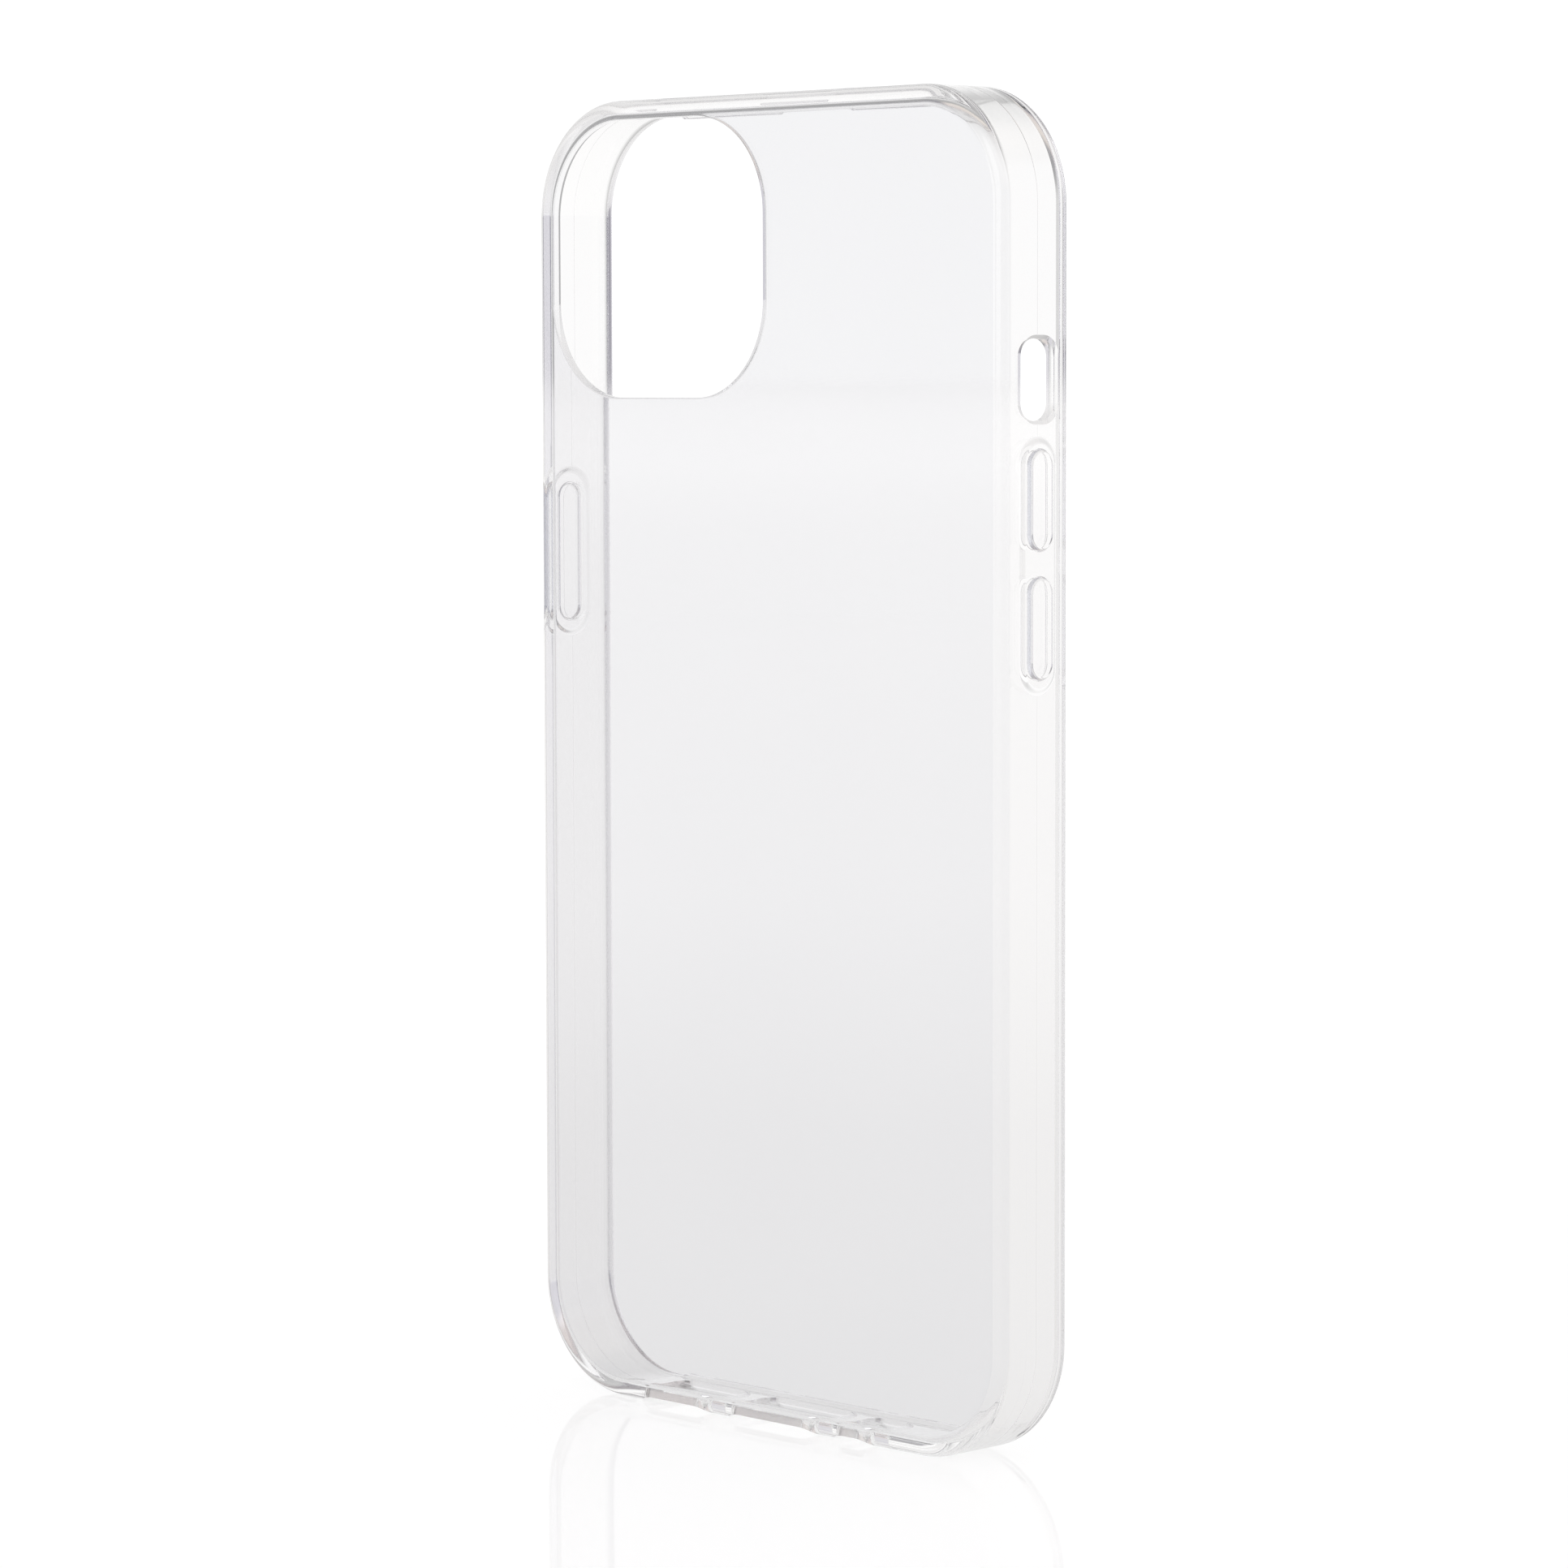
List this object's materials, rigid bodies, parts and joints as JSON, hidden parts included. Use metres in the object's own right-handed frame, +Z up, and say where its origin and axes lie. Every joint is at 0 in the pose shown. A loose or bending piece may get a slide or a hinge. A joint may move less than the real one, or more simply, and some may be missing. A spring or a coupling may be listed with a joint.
{
  "type": "phone case",
  "caption": "Clear protective case for a slim phone, with a camera opening, edge cut-outs and press-through side keys on soft pads.",
  "frame": {"origin": "middle of the case's bottom edge: mid-width, mid-depth, at the lowest face it stands on", "axes": "+Z up the case's length; +X to the right as seen from behind; the back faces -Y and the open screen side faces +Y"},
  "size_m": [0.0764, 0.0104, 0.15],
  "materials": {
    "soft_clear": "clear flexible plastic, gloss",
    "panel_clear": "clear plastic sheet, gloss",
    "pad_clear": "clear flexible plastic, gloss",
    "key_clear": "clear flexible plastic, gloss"
  },
  "bodies": {
    "case": {"bumper_frame": "soft_clear", "back_panel": "panel_clear", "volume_button_pad": "pad_clear", "power_button_pad": "pad_clear"},
    "volume_up_key": {"volume_up_button": "key_clear"},
    "volume_down_key": {"volume_down_button": "key_clear"},
    "power_key": {"power_button": "key_clear"}
  },
  "joints": [
    {"name": "volume_up_press", "type": "slide", "parent": "case", "child": "volume_up_key", "axis": [-1, 0, 0], "range_m": [0, 0.00035], "stiffness_N_per_m": 1500},
    {"name": "volume_down_press", "type": "slide", "parent": "case", "child": "volume_down_key", "axis": [-1, 0, 0], "range_m": [0, 0.00035], "stiffness_N_per_m": 1500},
    {"name": "power_press", "type": "slide", "parent": "case", "child": "power_key", "axis": [1, 0, 0], "range_m": [0, 0.00035], "stiffness_N_per_m": 1500}
  ]
}
